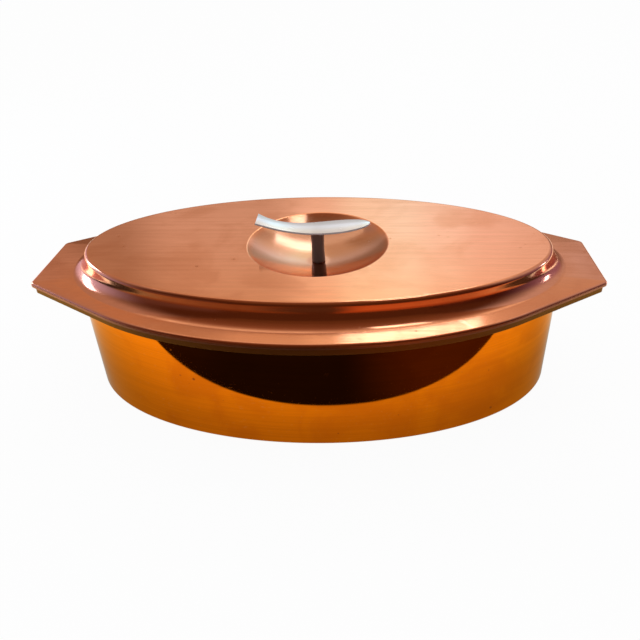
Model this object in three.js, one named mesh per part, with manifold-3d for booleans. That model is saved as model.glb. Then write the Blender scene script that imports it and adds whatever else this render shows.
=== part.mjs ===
// Lidded oval copper serving dish, lined with steel.
// A deep drawn pan with a flat ear at each end carries a pressed lid of the same outline. A round well
// in the lid gives the fingers room under a fish-shaped grip, which stands on a short post.
// Millimetres. +X runs along the dish, +Y away from its front, +Z up. Origin: middle of the underside.
import * as THREE from 'three';
import { mergeVertices } from 'three/addons/utils/BufferGeometryUtils.js';
import Module from 'manifold-3d';

// Pan
const panLength = 340.4;
const panWidth = 184.6;
const wallFlare = 0.3;
const panSheet = 1.5;
const footRadius = 4;
const throatRadius = 2.5;
const rimHeight = 87.6;
const rimWidth = 8.5;
const rimEdgeRadius = 1.9;
const rimLipHeight = 5.6;

// Ears
const earProjection = 15.1;
const earTipWidth = 60.5;
const earCornerRadius = 2.4;

// Lid
const lidSheet = 1.2;
const lidEdgeRadius = 1.8;
const lidLipHeight = 3.2;
const panelInsetEnds = 9.3;
const panelInsetSides = 13;
const stepHeight = 15.4;
const stepSlope = 80;
const shoulderRadius = 3;
const stepFootRadius = 11;
const flangeSlope = 7;

// Well in the middle of the lid
const wellRadius = 49.4;
const wellDepth = 15;
const wellRimRadius = 2.6;
const seatRadius = 7.5;

// Linings
const panLiningSheet = 0.5;
const lidLiningSheet = 0.4;
const bondGap = 0.3;

// Grip and post
const gripTailReach = 41.7;
const gripNoseReach = 36.8;
const gripLowest = -4;
const gripThickness = 1.4;
const gripEdgeChamfer = 0.4;
const tailHalfWidth = 8.2;
const waistHalfWidth = 6.7;
const waistPlace = -31;
const bellyHalfWidth = 9.9;
const bellyPlace = 12;
const noseBlunt = 0.8;
const backFullness = 0.42;
const headFullness = 0.5;
const snoutFullness = 0.62;
const snoutTaper = 0.08;
const tailRise = 7.4;
const tailCurl = 2.4;
const noseRise = 4;
const noseCurl = 1.4;
const postHeight = 24;
const postRadius = 4.8;
const postWaistRadius = 4.45;
const postChamfer = 0.5;

// Fixing under the lid
const screwRadius = 2.5;
const threadEngagement = 12;
const boreSpare = 2;
const screwHeadRadius = 4.6;
const screwHeadHeight = 3;
const headEdgeRadius = 1;
const slotWidth = 1.4;
const slotDepth = 1.3;
const washerRadius = 6.5;
const washerThickness = 1;
const springWasherRadius = 4.4;
const springWasherThickness = 1.2;
const springWasherGap = 14;

// Clearances
const rimClearance = 0.8;
const restGap = 0.3;
const threadClearance = 0.3;
const jointGap = 0.3;

// Facets
const earEndSteps = 2;
const earCornerSteps = 3;
const earSideSteps = 3;
const ovalSteps = 7;
const footSteps = 3;
const throatSteps = 2;
const edgeSteps = 2;
const shoulderSteps = 2;
const stepFootSteps = 3;
const wellSteps = 4;
const wellRimSteps = 2;
const tailSteps = 4;
const backSteps = 9;
const noseSteps = 7;
const roundSteps = 24;

// Heights of the stack at the rim and under the grip
const rimUnderside = rimHeight - panSheet;
const panLiningTop = rimHeight + bondGap + panLiningSheet;
const lidFlangeTop = panLiningTop + restGap + lidLiningSheet + bondGap + lidSheet;
const panelTop = lidFlangeTop + stepHeight;
const seatTop = panelTop - wellDepth;
const seatUnderside = seatTop - lidSheet - bondGap - lidLiningSheet;
const gripMiddle = seatTop + postHeight + jointGap + gripThickness / 2;
const holeRadius = screwRadius + threadClearance;

const quarterTurn = Math.PI / 2;
const halfTurn = Math.PI;
const deg = Math.PI / 180;

// Outline of the rim
// The rim is the oval and four ear corners, joined by straight sides that touch both. Its points are
// found by the direction that the edge faces, so that a parallel edge is a plain shift along it.
const ovalHalfLength = panLength / 2 + wallFlare + rimWidth;
const ovalHalfWidth = panWidth / 2 + wallFlare + rimWidth;
const cornerX = ovalHalfLength + earProjection - earCornerRadius;
const cornerY = earTipWidth / 2 - earCornerRadius;

function ovalEdge(facing) {
  const along = ovalHalfLength * Math.cos(facing);
  const across = ovalHalfWidth * Math.sin(facing);
  const reach = Math.hypot(along, across);
  return { x: ovalHalfLength * along / reach, y: ovalHalfWidth * across / reach, reach, facing };
}

function cornerEdge(facing) {
  const x = cornerX + earCornerRadius * Math.cos(facing);
  const y = cornerY + earCornerRadius * Math.sin(facing);
  return { x, y, reach: x * Math.cos(facing) + y * Math.sin(facing), facing };
}

// The direction that the ear's straight side faces: there the corner reaches as far out as the oval.
function sideFacing() {
  let low = 0;
  let high = quarterTurn;
  for (let halving = 0; halving < 50; halving += 1) {
    const middle = (low + high) / 2;
    if (cornerEdge(middle).reach > ovalEdge(middle).reach) low = middle;
    else high = middle;
  }
  return (low + high) / 2;
}

function between(from, to, step, steps) {
  return from + (to - from) * step / steps;
}

function quarterOutline() {
  const side = sideFacing();
  const sideStart = cornerEdge(side);
  const sideEnd = ovalEdge(side);
  const points = [];
  for (let step = 0; step < earEndSteps; step += 1) {
    points.push({ x: cornerX + earCornerRadius, y: between(0, cornerY, step, earEndSteps), facing: 0 });
  }
  for (let step = 0; step < earCornerSteps; step += 1) {
    points.push(cornerEdge(between(0, side, step, earCornerSteps)));
  }
  for (let step = 0; step < earSideSteps; step += 1) {
    points.push({
      x: between(sideStart.x, sideEnd.x, step, earSideSteps),
      y: between(sideStart.y, sideEnd.y, step, earSideSteps),
      facing: side,
    });
  }
  for (let step = 0; step < ovalSteps; step += 1) {
    points.push(ovalEdge(between(side, quarterTurn, step, ovalSteps)));
  }
  return points;
}

function mirroredOutline() {
  const quarter = quarterOutline();
  const top = { x: 0, y: ovalHalfWidth, facing: quarterTurn };
  const half = [...quarter, top];
  for (const { x, y, facing } of quarter.slice(1).reverse()) {
    half.push({ x: -x, y, facing: halfTurn - facing });
  }
  const back = half.map(({ x, y, facing }) => ({ x: -x, y: -y, facing: halfTurn + facing }));
  return [...half, ...back];
}

const rimStations = mirroredOutline();

// Rings and skins
// Every ring around the dish has one point for each station of the rim, so any two can be joined.
function rimRing(outset, z) {
  return rimStations.map(({ x, y, facing }) => new THREE.Vector3(
    x + outset * Math.cos(facing),
    y + outset * Math.sin(facing),
    z,
  ));
}

function ovalRing(halfLength, halfWidth, z) {
  return rimStations.map(({ x, y }) => {
    const bearing = Math.atan2(y, x);
    const reach = 1 / Math.hypot(Math.cos(bearing) / halfLength, Math.sin(bearing) / halfWidth);
    return new THREE.Vector3(reach * Math.cos(bearing), reach * Math.sin(bearing), z);
  });
}

function pole(x, z) {
  return [new THREE.Vector3(x, 0, z)];
}

// Points of an arc in a section. Its angle runs from straight up towards the outside.
function sectionArc(reach, z, radius, from, to, steps) {
  const points = [];
  for (let step = 0; step <= steps; step += 1) {
    const angle = between(from, to, step, steps);
    points.push({ reach: reach + radius * Math.sin(angle), z: z + radius * Math.cos(angle) });
  }
  return points;
}

// The pan's section at a depth inside its outer face, from the middle of the floor to the flange.
function panBowl(depth) {
  const foot = sectionArc(-footRadius, footRadius, footRadius - depth, halfTurn, quarterTurn, footSteps);
  const throat = sectionArc(
    wallFlare + throatRadius,
    rimUnderside - throatRadius,
    throatRadius + depth,
    -quarterTurn,
    0,
    throatSteps,
  );
  const rings = [...foot, ...throat].map(({ reach, z }) => (
    ovalRing(panLength / 2 + reach, panWidth / 2 + reach, z)));
  return [pole(0, depth), ...rings];
}

// A flange's rounded edge and the lip below it. The depth is that of the face under the flange's top.
function rimEdge(outset, top, radius, lip, depth) {
  const arc = sectionArc(outset - radius, top - radius, radius - depth, 0, quarterTurn, edgeSteps);
  return [...arc.map(({ reach, z }) => rimRing(reach, z)), rimRing(outset - depth, top - lip)];
}

// Step between the lid's panel and its flange
// The flange falls outwards from the foot of the step to its rounded edge, so the foot ends a little
// above the edge. The fall is measured at the dish's sides.
const lidOutset = rimClearance + lidSheet;
const crownReach = ovalHalfWidth + lidOutset - lidEdgeRadius - (panWidth / 2 - panelInsetSides);
const slopeAngle = stepSlope * deg;
const fallAngle = flangeSlope * deg;
const arcsRun = shoulderRadius * Math.sin(slopeAngle)
  + stepFootRadius * (Math.sin(slopeAngle) - Math.sin(fallAngle));
const arcsDrop = shoulderRadius * (1 - Math.cos(slopeAngle))
  + stepFootRadius * (Math.cos(fallAngle) - Math.cos(slopeAngle));
const straightDrop = stepHeight - arcsDrop - (crownReach - arcsRun) * Math.tan(fallAngle);
const stepRun = arcsRun + straightDrop / (Math.tan(slopeAngle) - Math.tan(fallAngle));
const footTop = lidFlangeTop + (crownReach - stepRun) * Math.tan(fallAngle);

// The well is part of a sphere that passes through its rim and the edge of its flat seat.
const wellCentreLift = (wellRadius ** 2 - seatRadius ** 2 - wellDepth ** 2) / (2 * wellDepth);
const wellSphere = Math.hypot(wellRadius, wellCentreLift);
const wellCentreZ = panelTop + wellCentreLift;

// The lid's section at a depth below its outer face, from the screw hole to the foot of the step.
function lidCrown(depth) {
  const seatZ = seatTop - depth;
  const rimDrop = wellCentreLift + wellRimRadius;
  const rimReach = Math.sqrt((wellSphere + wellRimRadius) ** 2 - rimDrop ** 2);
  const rimAngle = Math.asin(rimReach / (wellSphere + wellRimRadius));
  const seatAngle = Math.acos((wellCentreZ - seatZ) / (wellSphere + depth));
  const bowl = sectionArc(
    0,
    wellCentreZ,
    wellSphere + depth,
    halfTurn - seatAngle,
    halfTurn - rimAngle,
    wellSteps,
  );
  const wellRim = sectionArc(
    rimReach,
    panelTop - wellRimRadius,
    wellRimRadius - depth,
    -rimAngle,
    0,
    wellRimSteps,
  );
  const shoulder = sectionArc(
    0,
    panelTop - shoulderRadius,
    shoulderRadius - depth,
    0,
    slopeAngle,
    shoulderSteps,
  );
  const foot = sectionArc(
    stepRun + stepFootRadius * Math.sin(fallAngle),
    footTop + stepFootRadius * Math.cos(fallAngle),
    stepFootRadius + depth,
    halfTurn + slopeAngle,
    halfTurn + fallAngle,
    stepFootSteps,
  );
  const round = [{ reach: holeRadius, z: seatZ }, ...bowl, ...wellRim.slice(1)];
  return [
    ...round.map(({ reach, z }) => ovalRing(reach, reach, z)),
    ...[...shoulder, ...foot].map(({ reach, z }) => ovalRing(
      panLength / 2 - panelInsetEnds + reach,
      panWidth / 2 - panelInsetSides + reach,
      z,
    )),
  ];
}

// Joins rings into one closed surface. A ring of one point closes an end, and without one the last
// ring joins the first.
function loft(rings) {
  const corners = [];
  const triangle = (a, b, c) => corners.push(...a.toArray(), ...b.toArray(), ...c.toArray());
  const joinsRound = rings[0].length > 1;
  const joins = joinsRound ? rings.length : rings.length - 1;
  for (let row = 0; row < joins; row += 1) {
    const inner = rings[row];
    const outer = rings[(row + 1) % rings.length];
    const count = Math.max(inner.length, outer.length);
    for (let place = 0; place < count; place += 1) {
      const next = (place + 1) % count;
      if (inner.length > 1) {
        triangle(inner[place], outer[place % outer.length], inner[next]);
      }
      if (outer.length > 1) {
        triangle(inner[next % inner.length], outer[place], outer[next]);
      }
    }
  }
  const geometry = new THREE.BufferGeometry();
  geometry.setAttribute('position', new THREE.Float32BufferAttribute(corners, 3));
  return mergeVertices(geometry);
}

// Sheet between an upper and a lower skin, both given from the middle outwards.
function sheet(upper, lower) {
  return loft([...upper, ...lower.reverse()]);
}

// Pan
const liningOutset = -rimEdgeRadius;

function panSkin(depth) {
  const edge = rimEdge(0, rimHeight, rimEdgeRadius, rimLipHeight, panSheet - depth);
  return [...panBowl(depth), ...edge];
}

function panLiningSkin(depth) {
  return [...panBowl(depth), rimRing(liningOutset, rimUnderside + depth)];
}

function panShell() {
  return sheet(panSkin(panSheet), panSkin(0));
}

function panLining() {
  const back = panSheet + bondGap;
  return sheet(panLiningSkin(back + panLiningSheet), panLiningSkin(back));
}

// Lid
function lidSkin(depth) {
  const edge = rimEdge(lidOutset, lidFlangeTop, lidEdgeRadius, lidLipHeight, depth);
  return [...lidCrown(depth), ...edge];
}

function lidLiningSkin(depth) {
  return [...lidCrown(depth), rimRing(liningOutset, lidFlangeTop - depth)];
}

function lidShell() {
  return sheet(lidSkin(0), lidSkin(lidSheet));
}

function lidLining() {
  const back = lidSheet + bondGap;
  return sheet(lidLiningSkin(back), lidLiningSkin(back + lidLiningSheet));
}

// Grip
// Half of the fish's plan, from its tail along the back to its nose: x is the place along the grip and
// y is half the width there.
function fishHalfPlan() {
  const tail = new THREE.Vector2(-gripTailReach, tailHalfWidth);
  const waist = new THREE.Vector2(waistPlace, waistHalfWidth);
  const belly = new THREE.Vector2(bellyPlace, bellyHalfWidth);
  const nose = new THREE.Vector2(gripNoseReach, noseBlunt);
  const flank = (belly.x - waist.x) * backFullness;
  const snout = nose.x - belly.x;
  const tailEdge = new THREE.QuadraticBezierCurve(
    tail,
    new THREE.Vector2(between(tail.x, waist.x, 1, 2), waist.y),
    waist,
  );
  const back = new THREE.CubicBezierCurve(
    waist,
    new THREE.Vector2(waist.x + flank, waist.y),
    new THREE.Vector2(belly.x - flank, belly.y),
    belly,
  );
  const head = new THREE.CubicBezierCurve(
    belly,
    new THREE.Vector2(belly.x + snout * headFullness, belly.y),
    new THREE.Vector2(nose.x - snout * snoutTaper, belly.y * snoutFullness),
    nose,
  );
  return [
    ...tailEdge.getPoints(tailSteps),
    ...back.getPoints(backSteps).slice(1),
    ...head.getPoints(noseSteps).slice(1),
  ];
}

// Height of the bent plate's middle above its lowest line.
function gripRise(x) {
  if (x < gripLowest) {
    return tailRise * ((gripLowest - x) / (gripTailReach + gripLowest)) ** tailCurl;
  }
  return noseRise * ((x - gripLowest) / (gripNoseReach - gripLowest)) ** noseCurl;
}

function gripSection({ x, y: halfWidth }) {
  const probe = 0.01;
  const tilt = Math.atan2(gripRise(x + probe) - gripRise(x - probe), 2 * probe);
  const flat = Math.max(halfWidth - gripEdgeChamfer, halfWidth / 2);
  const half = gripThickness / 2;
  const outline = [
    [halfWidth, 0],
    [flat, -half],
    [-flat, -half],
    [-halfWidth, 0],
    [-flat, half],
    [flat, half],
  ];
  return outline.map(([across, up]) => new THREE.Vector3(
    x - up * Math.sin(tilt),
    across,
    gripMiddle + gripRise(x) + up * Math.cos(tilt),
  ));
}

function fishGrip() {
  const sections = fishHalfPlan().map(gripSection);
  return loft([
    pole(-gripTailReach, gripMiddle + tailRise),
    ...sections,
    pole(gripNoseReach, gripMiddle + noseRise),
  ]);
}

// Post, with a blind hole for the screw
function turned(profile) {
  const points = profile.map(([radius, z]) => new THREE.Vector2(radius, z));
  return new THREE.LatheGeometry(points, roundSteps).rotateX(quarterTurn);
}

function knobPost() {
  const boreTop = threadEngagement - (seatTop - seatUnderside) + boreSpare;
  const waist = (postRadius - postWaistRadius) / 2;
  return turned([
    [0, boreTop],
    [holeRadius, boreTop],
    [holeRadius, 0],
    [postRadius - postChamfer, 0],
    [postRadius, postChamfer],
    [postWaistRadius + waist, postHeight / 4],
    [postWaistRadius, postHeight / 2],
    [postWaistRadius + waist, postHeight * 3 / 4],
    [postRadius, postHeight - postChamfer],
    [postRadius - postChamfer, postHeight],
    [0, postHeight],
  ]).translate(0, 0, seatTop);
}

// Fixing: a plain washer, a split spring washer and a slotted screw
function lidWasher() {
  return turned([
    [holeRadius, 0],
    [washerRadius, 0],
    [washerRadius, washerThickness],
    [holeRadius, washerThickness],
    [holeRadius, 0],
  ]).translate(0, 0, seatUnderside - washerThickness);
}

const headSeat = seatUnderside - washerThickness - springWasherThickness;

function springWasher() {
  const gap = springWasherGap * deg / 2;
  const ring = new THREE.Shape();
  ring.absarc(0, 0, springWasherRadius, gap, 2 * halfTurn - gap, false);
  ring.absarc(0, 0, holeRadius, 2 * halfTurn - gap, gap, true);
  ring.closePath();
  const depth = springWasherThickness;
  const geometry = new THREE.ExtrudeGeometry(ring, { depth, bevelEnabled: false, curveSegments: roundSteps });
  return geometry.translate(0, 0, headSeat);
}

const wasm = await Module();
wasm.setup();

function solidOf(geometry) {
  const bare = geometry.clone();
  bare.deleteAttribute('normal');
  bare.deleteAttribute('uv');
  const merged = mergeVertices(bare);
  return new wasm.Manifold(new wasm.Mesh({
    numProp: 3,
    vertProperties: new Float32Array(merged.attributes.position.array),
    triVerts: new Uint32Array(merged.index.array),
  }));
}

function geometryOf(solid) {
  const { vertProperties, triVerts } = solid.getMesh();
  const geometry = new THREE.BufferGeometry();
  geometry.setAttribute('position', new THREE.BufferAttribute(vertProperties, 3));
  geometry.setIndex(new THREE.BufferAttribute(triVerts, 1));
  return geometry;
}

function lidScrew() {
  const headRound = headEdgeRadius * (1 - Math.SQRT1_2);
  const body = turned([
    [0, -screwHeadHeight],
    [screwHeadRadius - headEdgeRadius, -screwHeadHeight],
    [screwHeadRadius - headRound, -screwHeadHeight + headRound],
    [screwHeadRadius, -screwHeadHeight + headEdgeRadius],
    [screwHeadRadius, 0],
    [screwRadius, 0],
    [screwRadius, threadEngagement + seatUnderside - headSeat - postChamfer],
    [screwRadius - postChamfer, threadEngagement + seatUnderside - headSeat],
    [0, threadEngagement + seatUnderside - headSeat],
  ]);
  const slotLength = 4 * screwHeadRadius;
  const slot = new THREE.BoxGeometry(slotLength, slotWidth, 2 * slotDepth);
  slot.translate(0, 0, -screwHeadHeight);
  return geometryOf(solidOf(body).subtract(solidOf(slot))).translate(0, 0, headSeat);
}

// Materials
function metal(color, roughness) {
  return new THREE.MeshStandardMaterial({ color, roughness, metalness: 1 });
}

const polishedCopper = metal('#d9781e', 0.12);
const brushedCopper = metal('#cf8560', 0.3);
const satinSteel = metal('#c9c9c6', 0.3);
const brushedSteel = metal('#d4d6d8', 0.28);
const polishedSteel = metal('#8d8583', 0.1);
const platedSteel = metal('#b9bbbb', 0.25);

// Assembly
const pan = new THREE.Group();
const lid = new THREE.Group();

function piece(group, name, geometry, material) {
  const mesh = new THREE.Mesh(geometry, material);
  mesh.name = name;
  group.add(mesh);
}

piece(pan, 'pan_shell', panShell(), polishedCopper);
piece(pan, 'pan_lining', panLining(), satinSteel);
piece(lid, 'lid_shell', lidShell(), brushedCopper);
piece(lid, 'lid_lining', lidLining(), satinSteel);
piece(lid, 'knob_post', knobPost(), polishedSteel);
piece(lid, 'fish_grip', fishGrip(), brushedSteel);
piece(lid, 'lid_washer', lidWasher(), platedSteel);
piece(lid, 'spring_washer', springWasher(), platedSteel);
piece(lid, 'lid_screw', lidScrew(), platedSteel);

const servingDish = new THREE.Group();
servingDish.add(pan, lid);

export default servingDish;
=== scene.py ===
"""Looks of a lidded oval serving dish in copper, lined with steel.

The pan and the lid are pressed sheets, so each is lofted here as two skins around one section,
with the sizes of the frame's own solids. +X runs along the dish, +Y away from its front, +Z up,
in metres.
"""

import logging
import math
from dataclasses import dataclass, field
from enum import Enum

import bmesh
import bpy
from mathutils import Matrix, Vector


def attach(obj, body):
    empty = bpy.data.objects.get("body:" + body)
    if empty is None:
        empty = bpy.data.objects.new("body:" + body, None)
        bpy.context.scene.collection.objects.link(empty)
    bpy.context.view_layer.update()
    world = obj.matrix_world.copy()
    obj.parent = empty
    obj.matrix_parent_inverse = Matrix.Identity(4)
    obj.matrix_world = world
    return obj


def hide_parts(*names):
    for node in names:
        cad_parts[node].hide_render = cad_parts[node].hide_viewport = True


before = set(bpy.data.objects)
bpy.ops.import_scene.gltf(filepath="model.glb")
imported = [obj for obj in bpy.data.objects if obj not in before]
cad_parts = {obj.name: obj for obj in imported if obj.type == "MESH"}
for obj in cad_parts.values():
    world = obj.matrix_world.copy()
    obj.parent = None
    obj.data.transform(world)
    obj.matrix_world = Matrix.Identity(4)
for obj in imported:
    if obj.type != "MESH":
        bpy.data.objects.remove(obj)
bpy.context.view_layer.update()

LOG = logging.getLogger("serving_dish")
MM = 0.001
QUARTER_TURN = math.pi / 2
HALF_TURN = math.pi
SHEET_SHARP_DEGREES = 40.0
TURNED_SHARP_DEGREES = 50.0
ORIGIN = (0.0, 0.0, 0.0)
WHITE = (1.0, 1.0, 1.0)
LEVEL = (1.0, 1.0, 0.0)
ALONG = (1.0, 0.0, 0.0)
ACROSS = (0.0, 1.0, 0.0)
UPWARD = (0.0, 0.0, 1.0)

Ring = list[Vector]
SectionPoint = tuple[float, float]
Triple = tuple[float, float, float]
Colour = Triple
Tones = tuple[tuple[float, Colour], ...]
Socket = bpy.types.NodeSocket
Masks = dict[str, Socket]


class Body(Enum):
    """The two bodies that the pieces ride on."""

    PAN = "pan"
    LID = "lid"


class Slot(Enum):
    """The record's material slots."""

    POLISHED_COPPER = "polished_copper"
    BRUSHED_COPPER = "brushed_copper"
    SATIN_STEEL = "satin_steel"
    BRUSHED_STEEL = "brushed_steel"
    POLISHED_STEEL = "polished_steel"
    PLATED_STEEL = "plated_steel"


class Grain(Enum):
    """The way that the marks of the polishing run."""

    ALONG_DISH = ALONG
    AROUND_UPRIGHT = UPWARD


# Camera


@dataclass(frozen=True)
class PhotoCamera:
    """The camera that took the picture, solved from the dish's outline.

    The picture is a cut-out set in the middle of its frame, so the lens's own middle is off the
    frame's, which a small shift brings back.
    """

    location: Triple = (34.76 * MM, -397.36 * MM, 305.82 * MM)
    yaw: float = -0.0281
    pitch: float = 0.5648
    roll: float = 0.0160
    frame_pixels: float = 640.0
    focal_pixels: float = 629.7
    middle_column: float = 352.3
    middle_row: float = 304.0
    sensor_width: float = 36.0
    clip_near: float = 10 * MM
    clip_far: float = 100.0

    def axes(self) -> tuple[Vector, Vector, Vector]:
        """Work out where the camera's right, up and back point.

        Returns:
            The three directions in the dish's frame.
        """
        level = math.cos(self.pitch)
        forward = Vector(
            (math.sin(self.yaw) * level, math.cos(self.yaw) * level, -math.sin(self.pitch))
        )
        side = Vector((math.cos(self.yaw), -math.sin(self.yaw), 0.0))
        down = forward.cross(side)
        right = side * math.cos(self.roll) + down * math.sin(self.roll)
        up = side * math.sin(self.roll) - down * math.cos(self.roll)
        return right, up, -forward

    def place(self) -> bpy.types.Object:
        """Make the camera and give it to the scene.

        Returns:
            The camera's object.
        """
        lens = bpy.data.cameras.new("photo_camera")
        lens.sensor_width = self.sensor_width
        lens.lens = self.focal_pixels / self.frame_pixels * self.sensor_width
        lens.shift_x = 0.5 - self.middle_column / self.frame_pixels
        lens.shift_y = self.middle_row / self.frame_pixels - 0.5
        lens.clip_start = self.clip_near
        lens.clip_end = self.clip_far
        camera = bpy.data.objects.new("photo_camera", lens)
        turn = Matrix(self.axes()).transposed().to_4x4()
        camera.matrix_world = Matrix.Translation(self.location) @ turn
        bpy.context.scene.collection.objects.link(camera)
        bpy.context.scene.camera = camera
        return camera


# Shapes


def between(start: float, end: float, share: float) -> float:
    """Give the value at a share of the way from one value to another."""
    return start + (end - start) * share


def arc(
    reach: float, z: float, radius: float, start: float, end: float, steps: int
) -> list[SectionPoint]:
    """Make an arc in a section.

    Args:
        reach: How far out the arc's centre lies.
        z: The height of the arc's centre.
        radius: The arc's radius.
        start: The first angle, from straight up towards the outside.
        end: The last angle.
        steps: How many steps the arc has.

    Returns:
        The arc's points, as reach and height.
    """
    points = []
    for step in range(steps + 1):
        angle = between(start, end, step / steps)
        points.append((reach + radius * math.sin(angle), z + radius * math.cos(angle)))
    return points


def straight(start: SectionPoint, end: SectionPoint, parts: int, hold: float) -> list[SectionPoint]:
    """Make the inner points of a straight stretch of a section.

    Args:
        start: The point before the stretch.
        end: The point after it.
        parts: How many even parts the stretch has.
        hold: How close to each end a point keeps the stretch flat under smooth shading.

    Returns:
        The points between the two ends.
    """
    length = math.dist(start, end)
    shares = [hold / length, *(part / parts for part in range(1, parts)), 1 - hold / length]
    return [(between(start[0], end[0], s), between(start[1], end[1], s)) for s in shares]


def cut_edge(
    face: float, bottom: float, radius: float, side: float, steps: int
) -> list[SectionPoint]:
    """Round off one side of a sheet's cut edge that points down.

    Args:
        face: How far out the sheet's face lies.
        bottom: The height of the cut.
        radius: The rounding's radius.
        side: 1 where the face looks outwards, and -1 where it looks inwards.
        steps: How many steps the rounding has.

    Returns:
        The rounding's points, from the face down to the cut.
    """
    points = []
    for step in range(steps + 1):
        angle = QUARTER_TURN * step / steps
        inset = side * (radius - radius * math.cos(angle))
        points.append((face - inset, bottom + radius - radius * math.sin(angle)))
    return points


@dataclass(frozen=True)
class Station:
    """One place on the rim's edge, and the way that the edge faces there."""

    x: float
    y: float
    facing: float

    def reach(self) -> float:
        """How far out the edge's tangent lies from the middle of the dish."""
        return self.x * math.cos(self.facing) + self.y * math.sin(self.facing)

    def mirrored(self) -> "Station":
        """The same place at the other end of the dish."""
        return Station(-self.x, self.y, HALF_TURN - self.facing)

    def turned(self) -> "Station":
        """The same place half a turn round the dish."""
        return Station(-self.x, -self.y, HALF_TURN + self.facing)


@dataclass(frozen=True)
class RimOutline:
    """The outline that the pan's rim and the lid share: an oval with a flat ear at each end."""

    half_length: float = 179.0 * MM
    half_width: float = 101.1 * MM
    ear_projection: float = 15.1 * MM
    ear_tip_width: float = 60.5 * MM
    corner_radius: float = 2.4 * MM
    end_steps: int = 8
    corner_steps: int = 8
    side_steps: int = 24
    oval_steps: int = 60
    search_steps: int = 50

    @property
    def corner_x(self) -> float:
        """How far out the centre of an ear's corner lies."""
        return self.half_length + self.ear_projection - self.corner_radius

    @property
    def corner_y(self) -> float:
        """How far across the centre of an ear's corner lies."""
        return self.ear_tip_width / 2 - self.corner_radius

    def oval_edge(self, facing: float) -> Station:
        """Find the place where the oval faces a given way.

        Args:
            facing: The way, as an angle from +X.

        Returns:
            The place on the oval.
        """
        along = self.half_length * math.cos(facing)
        across = self.half_width * math.sin(facing)
        reach = math.hypot(along, across)
        return Station(self.half_length * along / reach, self.half_width * across / reach, facing)

    def corner_edge(self, facing: float) -> Station:
        """Find the place where an ear's corner faces a given way.

        Args:
            facing: The way, as an angle from +X.

        Returns:
            The place on the corner.
        """
        return Station(
            self.corner_x + self.corner_radius * math.cos(facing),
            self.corner_y + self.corner_radius * math.sin(facing),
            facing,
        )

    def side_facing(self) -> float:
        """Find the way that an ear's straight side faces.

        Returns:
            The angle at which the corner reaches as far out as the oval.
        """
        low = 0.0
        high = QUARTER_TURN
        for _ in range(self.search_steps):
            middle = (low + high) / 2
            if self.corner_edge(middle).reach() > self.oval_edge(middle).reach():
                low = middle
            else:
                high = middle
        return (low + high) / 2

    def quarter(self) -> list[Station]:
        """Walk a quarter of the outline, from the middle of an ear to the middle of the front.

        Returns:
            The stations of the quarter, without its last one.
        """
        side = self.side_facing()
        start = self.corner_edge(side)
        end = self.oval_edge(side)
        tip = self.corner_x + self.corner_radius
        stations = [
            Station(tip, self.corner_y * step / self.end_steps, 0.0)
            for step in range(self.end_steps)
        ]
        for step in range(self.corner_steps):
            stations.append(self.corner_edge(side * step / self.corner_steps))
        for step in range(self.side_steps):
            share = step / self.side_steps
            x = between(start.x, end.x, share)
            y = between(start.y, end.y, share)
            stations.append(Station(x, y, side))
        for step in range(self.oval_steps):
            stations.append(self.oval_edge(between(side, QUARTER_TURN, step / self.oval_steps)))
        return stations

    def stations(self) -> list[Station]:
        """Walk round the whole outline.

        Returns:
            The stations, anticlockwise from the middle of the right ear.
        """
        quarter = self.quarter()
        half = [*quarter, Station(0.0, self.half_width, QUARTER_TURN)]
        half += [station.mirrored() for station in reversed(quarter[1:])]
        return half + [station.turned() for station in half]


@dataclass(frozen=True)
class RingMaker:
    """Makes rings with one point for each station of the rim, so that any two can be joined."""

    stations: list[Station] = field(default_factory=lambda: RimOutline().stations())

    def rim(self, outset: float, z: float) -> Ring:
        """Make a ring that runs beside the rim's edge.

        Args:
            outset: How far out it is shifted.
            z: Its height.

        Returns:
            The ring.
        """
        return [
            Vector((s.x + outset * math.cos(s.facing), s.y + outset * math.sin(s.facing), z))
            for s in self.stations
        ]

    def oval(self, half_length: float, half_width: float, z: float) -> Ring:
        """Make an oval ring.

        Args:
            half_length: Half of its length.
            half_width: Half of its width.
            z: Its height.

        Returns:
            The ring.
        """
        ring = []
        for station in self.stations:
            bearing = math.atan2(station.y, station.x)
            along = math.cos(bearing)
            across = math.sin(bearing)
            reach = 1 / math.hypot(along / half_length, across / half_width)
            ring.append(Vector((reach * along, reach * across, z)))
        return ring

    def rims(self, points: list[SectionPoint]) -> list[Ring]:
        """Rings beside the rim's edge, one for each point of a section."""
        return [self.rim(reach, z) for reach, z in points]

    def ovals(
        self, half_length: float, half_width: float, points: list[SectionPoint]
    ) -> list[Ring]:
        """Oval rings, one for each point of a section."""
        return [self.oval(half_length + reach, half_width + reach, z) for reach, z in points]


def loft(name: str, rings: list[Ring], sharp: float = SHEET_SHARP_DEGREES) -> bpy.types.Object:
    """Join rings into one closed, smooth mesh.

    Args:
        name: The piece's name.
        rings: Rings of equal length. A ring of one point closes an end, and without one the last
            ring joins the first.
        sharp: The angle in degrees past which an edge stays sharp.

    Returns:
        The new object, linked to the scene.
    """
    points: list[Vector] = []
    starts = []
    for ring in rings:
        starts.append(len(points))
        points.extend(ring)
    faces = []
    joins = len(rings) if len(rings[0]) > 1 else len(rings) - 1
    for row in range(joins):
        following = (row + 1) % len(rings)
        inner, outer = starts[row], starts[following]
        inner_count, outer_count = len(rings[row]), len(rings[following])
        for place in range(max(inner_count, outer_count)):
            after = (place + 1) % max(inner_count, outer_count)
            corners = [
                inner + place % inner_count,
                outer + place % outer_count,
                outer + after % outer_count,
                inner + after % inner_count,
            ]
            faces.append(list(dict.fromkeys(corners)))
    mesh = bpy.data.meshes.new(name)
    mesh.from_pydata([point[:] for point in points], [], faces)
    return finished(name, mesh, sharp)


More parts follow.
